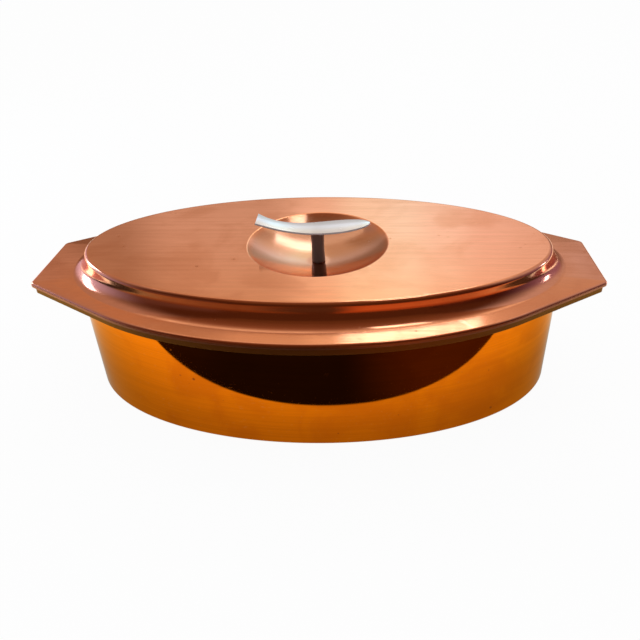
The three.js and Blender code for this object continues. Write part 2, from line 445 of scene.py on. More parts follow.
def finished(name: str, mesh: bpy.types.Mesh, sharp: float) -> bpy.types.Object:
    """Turn a mesh's faces outwards, shade it smooth and link it.

    Args:
        name: The piece's name.
        mesh: The mesh.
        sharp: The angle in degrees past which an edge stays sharp.

    Returns:
        The new object.
    """
    work = bmesh.new()
    work.from_mesh(mesh)
    bmesh.ops.recalc_face_normals(work, faces=work.faces)
    work.to_mesh(mesh)
    work.free()
    mesh.shade_smooth()
    mesh.set_sharp_from_angle(angle=math.radians(sharp))
    piece = bpy.data.objects.new(name, mesh)
    bpy.context.scene.collection.objects.link(piece)
    return piece


def turned(name: str, profile: list[SectionPoint], z: float, steps: int = 96) -> bpy.types.Object:
    """Turn a profile round the middle of the dish.

    Args:
        name: The piece's name.
        profile: Points as radius and height. The first and the last lie on the axis.
        z: The height at which the profile's zero lies.
        steps: How many points go round.

    Returns:
        The turned piece.
    """
    angles = [2 * HALF_TURN * step / steps for step in range(steps)]
    rings = []
    for radius, height in profile:
        up = z + height
        if radius == 0:
            ring = [Vector((0.0, 0.0, up))]
        else:
            ring = [Vector((radius * math.cos(a), radius * math.sin(a), up)) for a in angles]
        rings.append(ring)
    return loft(name, rings, TURNED_SHARP_DEGREES)


# Shader tools


@dataclass
class Shading:
    """A node tree with short ways to add and join its nodes."""

    tree: bpy.types.NodeTree

    def node(self, kind: str, **settings: object) -> bpy.types.Node:
        """Add a node and set its properties.

        Args:
            kind: The node's type, without its prefix.
            settings: Its properties by name.

        Returns:
            The new node.
        """
        made = self.tree.nodes.new("ShaderNode" + kind)
        for name, value in settings.items():
            setattr(made, name, value)
        return made

    def feed(self, target: Socket, source: object) -> None:
        """Link a socket to a target, or set the target's own value.

        Args:
            target: The socket that takes it.
            source: A socket or a value.
        """
        if isinstance(source, Socket):
            self.tree.links.new(source, target)
        else:
            target.default_value = source

    def math(self, operation: str, first: object, second: object = 0.0) -> Socket:
        """Add a math node.

        Args:
            operation: What it does.
            first: Its first value or socket.
            second: Its second value or socket.

        Returns:
            The result's socket.
        """
        made = self.node("Math", operation=operation)
        self.feed(made.inputs[0], first)
        self.feed(made.inputs[1], second)
        return made.outputs[0]

    def plus(self, first: object, second: object) -> Socket:
        """Add two values."""
        return self.math("ADD", first, second)

    def minus(self, first: object, second: object) -> Socket:
        """Take the second value from the first."""
        return self.math("SUBTRACT", first, second)

    def times(self, first: object, second: object) -> Socket:
        """Multiply two values."""
        return self.math("MULTIPLY", first, second)

    def vector(self, operation: str, first: object, second: object) -> Socket:
        """Add a vector math node.

        Args:
            operation: What it does.
            first: Its first vector or socket.
            second: Its second vector or socket.

        Returns:
            The resulting vector's socket.
        """
        made = self.node("VectorMath", operation=operation)
        self.feed(made.inputs[0], first)
        self.feed(made.inputs[1], second)
        return made.outputs["Vector"]

    def scaled(self, line: object, factors: object) -> Socket:
        """Multiply a vector part by part."""
        return self.vector("MULTIPLY", line, factors)

    def mix(self, factor: object, first: object, second: object) -> Socket:
        """Add a colour mix.

        Args:
            factor: The share of the second colour.
            first: The first colour or socket.
            second: The second colour or socket.

        Returns:
            The mixed colour's socket.
        """
        made = self.node("Mix", data_type="RGBA")
        for name, value in (("Factor_Float", factor), ("A_Color", first), ("B_Color", second)):
            target = next(s for s in made.inputs if s.identifier == name)
            self.feed(target, (*value, 1.0) if isinstance(value, tuple) else value)
        return next(s for s in made.outputs if s.identifier == "Result_Color")

    def length(self, line: Socket) -> Socket:
        """Measure a vector.

        Args:
            line: The vector's socket.

        Returns:
            Its length's socket.
        """
        made = self.node("VectorMath", operation="LENGTH")
        self.feed(made.inputs[0], line)
        return made.outputs["Value"]

    def rgb(self, colour: Colour) -> Socket:
        """Add a plain colour.

        Args:
            colour: The colour.

        Returns:
            Its socket.
        """
        made = self.node("RGB")
        made.outputs[0].default_value = (*colour, 1.0)
        return made.outputs[0]

    def triple(self, value: Socket) -> Socket:
        """Use one value for all three parts of a vector.

        Args:
            value: The value's socket.

        Returns:
            The vector's socket.
        """
        made = self.node("CombineXYZ")
        for part in made.inputs:
            self.feed(part, value)
        return made.outputs[0]

    def ramp(self, direction: Triple, tones: Tones) -> Socket:
        """Run softly through tones along a direction of the dish.

        Args:
            direction: The direction.
            tones: Places along it and the colour at each.

        Returns:
            The colour's socket.
        """
        where = self.node("VectorMath", operation="DOT_PRODUCT")
        self.feed(where.inputs[0], self.node("NewGeometry").outputs["Position"])
        self.feed(where.inputs[1], direction)
        tone = self.rgb(tones[0][1])
        for (before, _), (stop, colour) in zip(tones, tones[1:]):
            share = self.spread(where.outputs["Value"], before, stop, 0.0, 1.0)
            tone = self.mix(share, tone, colour)
        return tone

    def spread(
        self, value: object, low: object, high: object, start: object, end: object
    ) -> Socket:
        """Map a range of a value softly onto another range.

        Args:
            value: The value's socket.
            low: Where the range starts.
            high: Where it ends.
            start: The result at its start.
            end: The result at its end.

        Returns:
            The result's socket.
        """
        made = self.node("MapRange", interpolation_type="SMOOTHSTEP")
        names = ("Value", "From Min", "From Max", "To Min", "To Max")
        for name, source in zip(names, (value, low, high, start, end)):
            self.feed(made.inputs[name], source)
        return made.outputs["Result"]

    def noise(
        self, place: object, scale: object, detail: float = 2.0, warp: float = 0.0
    ) -> Socket:
        """Add a noise texture.

        Args:
            place: Where it is read.
            scale: How fine it is.
            detail: How many finer layers it has.
            warp: How much it is distorted.

        Returns:
            The noise's value.
        """
        made = self.node("TexNoise")
        self.feed(made.inputs["Vector"], place)
        self.feed(made.inputs["Scale"], scale)
        made.inputs["Detail"].default_value = detail
        made.inputs["Distortion"].default_value = warp
        return made.outputs["Fac"]


SOCKETS = {float: "NodeSocketFloat", tuple: "NodeSocketVector"}


@dataclass
class Effect:
    """A shared effect: a node group whose one output varies over the surface.

    Every effect has the input Place, where it is read, and its own named inputs after it.
    """

    name: str
    inputs: dict[str, object]
    output: str = "Mask"

    def open(self) -> tuple[Shading, Masks]:
        """Make the group with its sockets.

        Returns:
            Its shading, and the sockets that its inputs give inside.
        """
        tree = bpy.data.node_groups.new(self.name, "ShaderNodeTree")
        inputs = {"Place": ORIGIN, **self.inputs}
        for name, value in inputs.items():
            kind = SOCKETS[type(value)]
            made = tree.interface.new_socket(name, in_out="INPUT", socket_type=kind)
            made.default_value = value
        tree.interface.new_socket(self.output, in_out="OUTPUT", socket_type=SOCKETS[float])
        entry = tree.nodes.new("NodeGroupInput")
        return Shading(tree), {name: entry.outputs[name] for name in inputs}

    def close(self, shading: Shading, result: Socket) -> bpy.types.NodeTree:
        """Give the group its result.

        Args:
            shading: The group's shading.
            result: The socket that holds the result.

        Returns:
            The finished group.
        """
        leave = shading.tree.nodes.new("NodeGroupOutput")
        shading.tree.links.new(result, leave.inputs[self.output])
        return shading.tree


def brushed_grain() -> bpy.types.NodeTree:
    """Make the streaks that polishing leaves, stretched as Density says, about 0.5.

    Returns:
        The effect's group.
    """
    coarse_scale, coarse_detail = 0.3, 3.0
    fine_scale, fine_detail = 1.7, 4.0
    low, high = 0.36, 0.64
    effect = Effect("brushed_grain", {"Density": (1.0, 1.0, 1.0)}, "Streaks")
    shading, given = effect.open()
    stretched = shading.scaled(given["Place"], given["Density"])
    coarse = shading.noise(stretched, coarse_scale, coarse_detail)
    fine = shading.noise(stretched, fine_scale, fine_detail)
    both = shading.times(shading.plus(coarse, fine), 0.5)
    return effect.close(shading, shading.spread(both, low, high, 0.0, 1.0))


def cloudy_patches() -> bpy.types.NodeTree:
    """Make soft-edged patches, Size across, that cover about the share that Cover says.

    Returns:
        The effect's group.
    """
    cloud_detail, cloud_warp = 5.0, 0.6
    bare_level, cover_gain = 0.72, 0.44
    softness = 0.1
    effect = Effect("cloudy_patches", {"Size": 50 * MM, "Cover": 0.4})
    shading, given = effect.open()
    fineness = shading.math("DIVIDE", 1.0, given["Size"])
    cloud = shading.noise(given["Place"], fineness, cloud_detail, cloud_warp)
    level = shading.minus(bare_level, shading.times(given["Cover"], cover_gain))
    low = shading.minus(level, softness)
    high = shading.plus(level, softness)
    return effect.close(shading, shading.spread(cloud, low, high, 0.0, 1.0))


def tarnish_specks() -> bpy.types.NodeTree:
    """Make small round specks in loose drifts: Spacing apart, Radius as a share of the spacing.

    Returns:
        The effect's group.
    """
    drift_scale, drift_low, drift_high, drift_gain = 0.22, 0.5, 0.7, 1.6
    core_share, soft_rim = 0.5, 0.001
    effect = Effect("tarnish_specks", {"Spacing": 8 * MM, "Radius": 0.12})
    shading, given = effect.open()
    fineness = shading.math("DIVIDE", 1.0, given["Spacing"])
    cells = shading.node("TexVoronoi")
    shading.feed(cells.inputs["Vector"], given["Place"])
    shading.feed(cells.inputs["Scale"], fineness)
    drift = shading.noise(given["Place"], shading.times(fineness, drift_scale))
    size = shading.spread(drift, drift_low, drift_high, 0.0, drift_gain)
    radius = shading.times(given["Radius"], size)
    inner = shading.times(radius, core_share)
    rim = shading.plus(radius, soft_rim)
    return effect.close(shading, shading.spread(cells.outputs["Distance"], inner, rim, 1.0, 0.0))


def fine_scratches() -> bpy.types.NodeTree:
    """Make sparse hairline scratches that cross the grain at the angle Turn, in radians.

    Returns:
        The effect's group.
    """
    bend_scale, bend = 9.0, 0.06
    length_scale = 14.0
    faint, clear = 0.74, 0.8
    effect = Effect("fine_scratches", {"Turn": 0.5, "Fineness": 900.0})
    shading, given = effect.open()
    bent = shading.times(shading.noise(given["Place"], bend_scale, 1.0), bend)
    turn = shading.node("VectorRotate", rotation_type="Z_AXIS")
    shading.feed(turn.inputs["Vector"], shading.vector("ADD", given["Place"], shading.triple(bent)))
    shading.feed(turn.inputs["Angle"], given["Turn"])
    stretch = shading.node("CombineXYZ")
    shading.feed(stretch.inputs["X"], length_scale)
    shading.feed(stretch.inputs["Y"], given["Fineness"])
    shading.feed(stretch.inputs["Z"], given["Fineness"])
    drawn = shading.scaled(turn.outputs["Vector"], stretch.outputs["Vector"])
    lines = shading.noise(drawn, 1.0, 0.0)
    return effect.close(shading, shading.spread(lines, faint, clear, 0.0, 1.0))


def worn_and_highlit_edges() -> bpy.types.NodeTree:
    """Find the outer bends of a sheet, where the surface is lighter: partly wear and partly a
    painted highlight.

    Returns:
        The effect's group.
    """
    rough_scale, rough_detail = 160.0, 4.0
    softness = 0.05
    effect = Effect("worn_and_highlit_edges", {"Sharpness": 0.57, "Raggedness": 0.03})
    shading, given = effect.open()
    shape = shading.node("NewGeometry")
    rough = shading.minus(shading.noise(given["Place"], rough_scale, rough_detail), 0.5)
    level = shading.plus(given["Sharpness"], shading.times(rough, given["Raggedness"]))
    high = shading.plus(level, softness)
    return effect.close(shading, shading.spread(shape.outputs["Pointiness"], level, high, 0.0, 1.0))


def dull_shaded_rim() -> bpy.types.NodeTree:
    """Find the turned-down rim between two heights, which gets a duller gloss and a darker tone of
    painted shade and dark reflection at the lid's edge.

    Returns:
        The effect's group.
    """
    ragged_scale, ragged_detail, raggedness = 200.0, 3.0, 0.6 * MM
    softness = 0.4 * MM
    effect = Effect("dull_shaded_rim", {"From": 0.0, "To": 0.0})
    shading, given = effect.open()
    parts = shading.node("SeparateXYZ")
    shading.feed(parts.inputs[0], given["Place"])
    ragged = shading.times(shading.noise(given["Place"], ragged_scale, ragged_detail), raggedness)
    height = shading.plus(parts.outputs["Z"], ragged)
    above = shading.math("GREATER_THAN", height, given["From"])
    fade = shading.minus(given["To"], softness)
    under = shading.spread(height, fade, given["To"], 1.0, 0.0)
    return effect.close(shading, shading.times(above, under))


def painted_well_reflection() -> bpy.types.NodeTree:
    """Find the round well in the lid, which gets its own less red tone as a painted reflection:
    Radius is its edge's.

    Returns:
        The effect's group.
    """
    ragged_scale, ragged_detail, raggedness = 120.0, 3.0, 4 * MM
    softness = 3 * MM
    effect = Effect("painted_well_reflection", {"Radius": 50 * MM})
    shading, given = effect.open()
    reach = shading.length(shading.scaled(given["Place"], LEVEL))
    ragged = shading.times(shading.noise(given["Place"], ragged_scale, ragged_detail), raggedness)
    inner = shading.minus(shading.minus(given["Radius"], softness), ragged)
    return effect.close(shading, shading.spread(reach, inner, given["Radius"], 1.0, 0.0))


@dataclass
class Effects:
    """The shared effects, each built once."""

    grain: bpy.types.NodeTree = field(default_factory=brushed_grain)
    patches: bpy.types.NodeTree = field(default_factory=cloudy_patches)
    specks: bpy.types.NodeTree = field(default_factory=tarnish_specks)
    scratches: bpy.types.NodeTree = field(default_factory=fine_scratches)
    # Lighter outer bends: partly wear and partly a painted highlight.
    edges: bpy.types.NodeTree = field(default_factory=worn_and_highlit_edges)
    # The lid's well: a painted reflection tone.
    hollow: bpy.types.NodeTree = field(default_factory=painted_well_reflection)
    # The turned-down rim: a duller gloss and painted shade.
    rim: bpy.types.NodeTree = field(default_factory=dull_shaded_rim)


# Finishes


@dataclass(frozen=True)
class MetalFinish:
    """A metal surface as it was polished, handled and left to tarnish a little.

    The colours are linear. Patches are the cloudy tarnish, specks the small spots in it, and the
    wear colour is the brighter metal of the scratches and of the outer bends, where it is partly
    wear and partly a painted highlight. The hollow tone is a painted reflection tone in the lid's
    well, and the dull tone is painted shade and dark reflection on the turned-down rim. Glancing is
    the tint where the metal is seen edge on. Under 1, metallic leaves the rest of the surface to a
    thin film that scatters. Densities are per metre, reliefs are heights in metres.
    """

    slot: Slot
    grain: Grain
    colour: Colour
    tarnish: Colour
    speck: Colour
    wear_and_highlight: Colour
    roughness: float
    glancing: Colour = WHITE
    metallic: float = 1.0
    anisotropy: float = 0.6
    streak_density: Triple = (6.0, 900.0, 900.0)
    streak_tone: float = 0.25
    streak_shade: float = 0.7
    streak_roughness: float = 0.1
    streak_relief: float = 0.6e-6
    patch_size: float = 50 * MM
    patch_cover: float = 0.4
    patch_strength: float = 0.3
    patch_roughness: float = 0.06
    speck_spacing: float = 9 * MM
    speck_radius: float = 0.12
    speck_strength: float = 0.5
    speck_roughness: float = 0.15
    scratch_turn: float = 0.6
    scratch_strength: float = 0.15
    scratch_roughness: float = 0.06
    # The lighter outer bends are partly wear and partly a painted highlight.
    edge_wear_and_highlight_strength: float = 0.4
    # A painted reflection tone in the lid's well.
    hollow_radius: float = 0.0
    well_reflection_tone: Colour = WHITE
    well_reflection_strength: float = 0.0
    # The turned-down rim: a duller gloss and a darker tone of painted shade and dark reflection.
    shaded_rim_heights: tuple[float, float] = (0.0, 0.0)
    rim_painted_shade: Colour = (0.1, 0.05, 0.02)
    dull_roughness: float = 0.3
    wave_length: float = 45 * MM
    wave_relief: float = 0.05 * MM

    def material(self, effects: Effects) -> bpy.types.Material:
        """Make the material, or give it again if it is made already.

        Args:
            effects: The shared effects.

        Returns:
            The material.
        """
        name = f"{self.slot.value}_finish"
        known = bpy.data.materials.get(name)
        if known is not None:
            return known
        made = bpy.data.materials.new(name)
        made.use_nodes = True
        shading = Shading(made.node_tree)
        metal = made.node_tree.nodes["Principled BSDF"]
        metal.inputs["Metallic"].default_value = self.metallic
        metal.inputs["Anisotropic"].default_value = self.anisotropy
        metal.inputs["Specular Tint"].default_value = (*self.glancing, 1.0)
        place = shading.node("TexCoord").outputs["Object"]
        masks = self.masks(shading, effects, place)
        shading.feed(metal.inputs["Base Color"], self.tone(shading, masks))
        shading.feed(metal.inputs["Roughness"], self.sheen(shading, masks))
        shading.feed(metal.inputs["Normal"], self.relief(shading, masks, place))
        shading.feed(metal.inputs["Tangent"], self.across_grain(shading))
        return made

    def masks(self, shading: Shading, effects: Effects, place: Socket) -> Masks:
        """Place the shared effects with this finish's values.

        Args:
            shading: The material's shading.
            effects: The shared effects.
            place: Where they are read.

        Returns:
            Their outputs by name.
        """
        wanted = {
            "streaks": (effects.grain, {"Density": self.streak_density}),
            "patches": (effects.patches, {"Size": self.patch_size, "Cover": self.patch_cover}),
            "specks": (
                effects.specks,
                {"Spacing": self.speck_spacing, "Radius": self.speck_radius},
            ),
            "scratches": (effects.scratches, {"Turn": self.scratch_turn}),
            "edges": (effects.edges, {}),
            "hollow": (effects.hollow, {"Radius": self.hollow_radius}),
            "rim": (effects.rim, {"From": self.shaded_rim_heights[0], "To": self.shaded_rim_heights[1]}),
        }
        masks = {}
        for name, (group, values) in wanted.items():
            made = shading.node("Group", node_tree=group)
            shading.feed(made.inputs["Place"], place)
            for socket, value in values.items():
                made.inputs[socket].default_value = value
            masks[name] = made.outputs[0]
        return masks

    def tone(self, shading: Shading, masks: Masks) -> Socket:
        """Lay the streaks, tarnish, scratches, bends with their painted highlight, the well's
        painted reflection tone and the rim's painted shade over the metal's colour.

        Args:
            shading: The material's shading.
            masks: The effects' outputs.

        Returns:
            The colour's socket.
        """
        layers = (
            ("streaks", self.streak_tone, tuple(part * self.streak_shade for part in self.colour)),
            ("patches", self.patch_strength, self.tarnish),
            ("specks", self.speck_strength, self.speck),
            ("scratches", self.scratch_strength, self.wear_and_highlight),
            # The lid's well: a painted reflection tone.
            ("hollow", self.well_reflection_strength, self.well_reflection_tone),
            # Outer bends: the wear colour, partly wear and partly a painted highlight.
            ("edges", self.edge_wear_and_highlight_strength, self.wear_and_highlight),
            # Turned-down rim: painted shade and dark reflection.
            ("rim", 1.0, self.rim_painted_shade),
        )
        tone = self.colour
        for name, strength, colour in layers:
            tone = shading.mix(shading.times(masks[name], strength), tone, colour)
        return tone

    def sheen(self, shading: Shading, masks: Masks) -> Socket:
        """Vary the roughness with the streaks, the tarnish and the scratches.

        Args:
            shading: The material's shading.
            masks: The effects' outputs.

        Returns:
            The roughness's socket.
        """
        level = shading.times(shading.minus(masks["streaks"], 0.5), self.streak_roughness)
        level = shading.plus(level, self.roughness)
        changes = {
            "patches": self.patch_roughness,
            "specks": self.speck_roughness,
            "scratches": self.scratch_roughness,
            "rim": self.dull_roughness,
        }
        for name, strength in changes.items():
            level = shading.plus(level, shading.times(masks[name], strength))
        return level

    def relief(self, shading: Shading, masks: Masks, place: Socket) -> Socket:
        """Raise the streaks and the slow waves that pressing leaves in a sheet.

        Args:
            shading: The material's shading.
            masks: The effects' outputs.
            place: Where the waves are read.

        Returns:
            The normal's socket.
        """
        waves = shading.noise(place, 1 / self.wave_length, 1.0)
        height = shading.times(waves, self.wave_relief)
        height = shading.plus(height, shading.times(masks["streaks"], self.streak_relief))
        bump = shading.node("Bump")
        bump.inputs["Strength"].default_value = 1.0
        bump.inputs["Distance"].default_value = 1.0
        shading.feed(bump.inputs["Height"], height)
        return bump.outputs["Normal"]

    def across_grain(self, shading: Shading) -> Socket:
        """Find the direction across the grain in the surface, in which gloss spreads most.

        Args:
            shading: The material's shading.

        Returns:
            The direction's socket.
        """
        normal = shading.node("NewGeometry").outputs["Normal"]
        along = shading.vector("CROSS_PRODUCT", normal, self.grain.value)
        if self.grain is Grain.ALONG_DISH:
            return along
        return shading.vector("CROSS_PRODUCT", normal, along)


# The pan's deep orange colour, tarnish and wear colour are partly the copper's own tone and partly
# a painted reflection of an orange wooden table.
POLISHED_COPPER = MetalFinish(
    slot=Slot.POLISHED_COPPER,
    grain=Grain.AROUND_UPRIGHT,
    colour=(0.86, 0.185, 0.0015),
    tarnish=(0.66, 0.125, 0.002),
    speck=(0.25, 0.05, 0.01),
    wear_and_highlight=(0.92, 0.42, 0.12),
    roughness=0.03,
    glancing=(1.0, 0.86, 0.55),
    anisotropy=0.5,
    streak_density=(9.0, 9.0, 800.0),
    streak_tone=0.4,
    streak_roughness=0.02,
    patch_size=40 * MM,
    patch_cover=0.45,
    patch_strength=0.6,
    speck_radius=0.15,
    speck_strength=0.6,
    patch_roughness=0.01,
    scratch_strength=0.1,
    edge_wear_and_highlight_strength=0.25,
    # The pan's rim and lip: a duller gloss and a darker tone of painted shade and dark reflection
    # under the lid's edge.
    shaded_rim_heights=(82.0 * MM, 90.0 * MM),
    rim_painted_shade=(0.33, 0.145, 0.035),
    dull_roughness=0.55,
)
BRUSHED_COPPER = MetalFinish(
    slot=Slot.BRUSHED_COPPER,
    grain=Grain.ALONG_DISH,
    colour=(0.94, 0.46, 0.285),
    tarnish=(0.80, 0.36, 0.21),
    speck=(0.55, 0.26, 0.16),
    wear_and_highlight=(0.97, 0.62, 0.44),
    roughness=0.13,
    glancing=(1.0, 0.82, 0.70),
    anisotropy=0.7,
    streak_density=(22.0, 1100.0, 1100.0),
    streak_tone=0.2,
    streak_roughness=0.06,
    patch_size=48 * MM,
    patch_strength=0.55,
    speck_strength=0.2,
    # The well's less red tone is a painted reflection tone.
    hollow_radius=49.4 * MM,
    well_reflection_tone=(0.70, 0.42, 0.31),
    well_reflection_strength=0.9,
    # The lid's lip: a duller gloss and a darker tone of painted shade and dark reflection.
    shaded_rim_heights=(80.0 * MM, 89.9 * MM),
    rim_painted_shade=(0.42, 0.17, 0.09),
    dull_roughness=0.25,
)
SATIN_STEEL = MetalFinish(
    slot=Slot.SATIN_STEEL,
    grain=Grain.AROUND_UPRIGHT,
    colour=(0.62, 0.61, 0.59),
    tarnish=(0.50, 0.48, 0.45),
    speck=(0.30, 0.28, 0.26),
    wear_and_highlight=(0.75, 0.74, 0.72),
    roughness=0.3,
    metallic=0.55,
    streak_density=(7.0, 7.0, 700.0),
    streak_tone=0.15,
)
BRUSHED_STEEL = MetalFinish(
    slot=Slot.BRUSHED_STEEL,
    grain=Grain.ALONG_DISH,
    colour=(0.88, 0.92, 0.98),
    tarnish=(0.70, 0.72, 0.75),
    speck=(0.45, 0.44, 0.43),
    wear_and_highlight=(0.96, 0.96, 0.96),
    roughness=0.16,
    metallic=0.62,
    anisotropy=0.3,
    streak_density=(30.0, 3000.0, 3000.0),
    streak_roughness=0.06,
    patch_size=20 * MM,
    wave_relief=0.004 * MM,
)
# The post's dark brown colour is painted shade and dark reflection: it stands in for how dark the
# post looks in the grip's shade.
POLISHED_STEEL = MetalFinish(
    slot=Slot.POLISHED_STEEL,
    grain=Grain.AROUND_UPRIGHT,
    colour=(0.23, 0.175, 0.15),
    tarnish=(0.18, 0.14, 0.12),
    speck=(0.11, 0.10, 0.10),
    wear_and_highlight=(0.30, 0.26, 0.24),
    roughness=0.36,
    metallic=0.65,
    anisotropy=0.3,
    streak_density=(60.0, 60.0, 4000.0),
    streak_tone=0.15,
    streak_roughness=0.04,
    patch_size=10 * MM,
    wave_relief=0.002 * MM,
)
PLATED_STEEL = MetalFinish(
    slot=Slot.PLATED_STEEL,
    grain=Grain.ALONG_DISH,
    colour=(0.55, 0.55, 0.54),
    tarnish=(0.40, 0.38, 0.34),
    speck=(0.22, 0.18, 0.14),
    wear_and_highlight=(0.72, 0.72, 0.71),
    roughness=0.26,
    streak_density=(60.0, 2500.0, 2500.0),
    patch_size=5 * MM,
    wave_relief=0.0,
)


@dataclass
class Workshop:
    """What every sub-assembly needs: the rings, the effects and a way to hand over a piece."""

    rings: RingMaker = field(default_factory=RingMaker)
    effects: Effects = field(default_factory=Effects)

    def dress(self, piece: bpy.types.Object, finish: MetalFinish) -> None:
        """Give a piece its finish.

        Args:
            piece: The piece.
            finish: Its finish.
        """
        piece.data.materials.clear()
        piece.data.materials.append(finish.material(self.effects))

    def hand_over(
        self, piece: bpy.types.Object, finish: MetalFinish, body: Body, node: str
    ) -> bpy.types.Object:
        """Dress a piece, put it on its body and let it stand for its node.

        Args:
            piece: The piece.
            finish: Its finish.
            body: The body that it rides on.
            node: The frame's node that it replaces.

        Returns:
            The piece.
        """
        self.dress(piece, finish)
        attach(piece, body.value)
        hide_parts(node)
        return piece


# Pan


@dataclass
class Pan:
    """The deep drawn pan with its eared rim, and the steel sheet that lines it."""

    workshop: Workshop
    length: float = 340.4 * MM
    width: float = 184.6 * MM
    wall_flare: float = 0.3 * MM
    sheet: float = 1.5 * MM
    foot_radius: float = 4 * MM
    throat_radius: float = 2.5 * MM
    rim_height: float = 87.6 * MM
    rim_edge_radius: float = 1.9 * MM
    rim_lip_height: float = 5.6 * MM
    lining_sheet: float = 0.5 * MM
    bond_gap: float = 0.3 * MM
    cut_radius: float = 0.2 * MM
    hold: float = 0.3 * MM
    foot_steps: int = 10
    wall_parts: int = 6
    throat_steps: int = 9
    edge_steps: int = 8
    cut_steps: int = 4

    @property
    def rim_underside(self) -> float:
        """The height of the rim's underside."""
        return self.rim_height - self.sheet

    def bowl(self, depth: float) -> list[Ring]:
        """Make the rings of the floor, foot, wall and throat.

        Args:
            depth: How far the skin lies inside the outer face.

        Returns:
            The rings, from the middle of the floor to the start of the rim.
        """
        foot = arc(
            -self.foot_radius,
            self.foot_radius,
            self.foot_radius - depth,
            HALF_TURN,
            QUARTER_TURN,
            self.foot_steps,
        )
        throat = arc(
            self.wall_flare + self.throat_radius,
            self.rim_underside - self.throat_radius,
            self.throat_radius + depth,
            -QUARTER_TURN,
            0.0,
            self.throat_steps,
        )
        floor_edge = (foot[0][0] - self.hold, foot[0][1])
        wall = straight(foot[-1], throat[0], self.wall_parts, self.hold)
        section = [floor_edge, *foot, *wall, *throat]
        rings = self.workshop.rings.ovals(self.length / 2, self.width / 2, section)
        return [[Vector((0.0, 0.0, depth))], *rings]

    def rim(self, depth: float) -> list[Ring]:
        """Make the rings of the rim's edge and its turned-down lip.

        Args:
            depth: How far the skin lies inside the outer face.

        Returns:
            The rings, from the top of the rim to the cut edge of the lip.
        """
        radius = self.rim_edge_radius
        top = self.rim_height
        face = self.sheet - depth
        turn = arc(-radius, top - radius, radius - face, 0.0, QUARTER_TURN, self.edge_steps)
        side = 1.0 if depth > 0 else -1.0
        bottom = top - self.rim_lip_height
        cut = cut_edge(-face, bottom, self.cut_radius, side, self.cut_steps)
        lip = straight(turn[-1], cut[0], 2, self.hold)
        inner = (turn[0][0] - self.hold, turn[0][1])
        return self.workshop.rings.rims([inner, *turn, *lip, *cut])

    def shell(self) -> bpy.types.Object:
        """Make the copper pan.

        Returns:
            The pan's piece.
        """
        upper = self.bowl(self.sheet) + self.rim(self.sheet)
        lower = self.bowl(0.0) + self.rim(0.0)
        return loft("pan_copper", [*upper, *reversed(lower)])

    def lining(self) -> bpy.types.Object:
        """Make the steel lining, which ends on the rim.

        Returns:
            The lining's piece.
        """
        back = self.sheet + self.bond_gap
        face = back + self.lining_sheet
        reach = -self.rim_edge_radius
        upper = [*self.bowl(face), self.workshop.rings.rim(reach, self.rim_underside + face)]
        lower = [*self.bowl(back), self.workshop.rings.rim(reach, self.rim_underside + back)]
        return loft("pan_steel_lining", [*upper, *reversed(lower)])

    def build(self) -> list[bpy.types.Object]:
        """Make and dress the pan's pieces.

        Returns:
            The pieces.
        """
        hand_over = self.workshop.hand_over
        return [
            hand_over(self.shell(), POLISHED_COPPER, Body.PAN, "pan_shell"),
            hand_over(self.lining(), SATIN_STEEL, Body.PAN, "pan_lining"),
        ]


# Lid


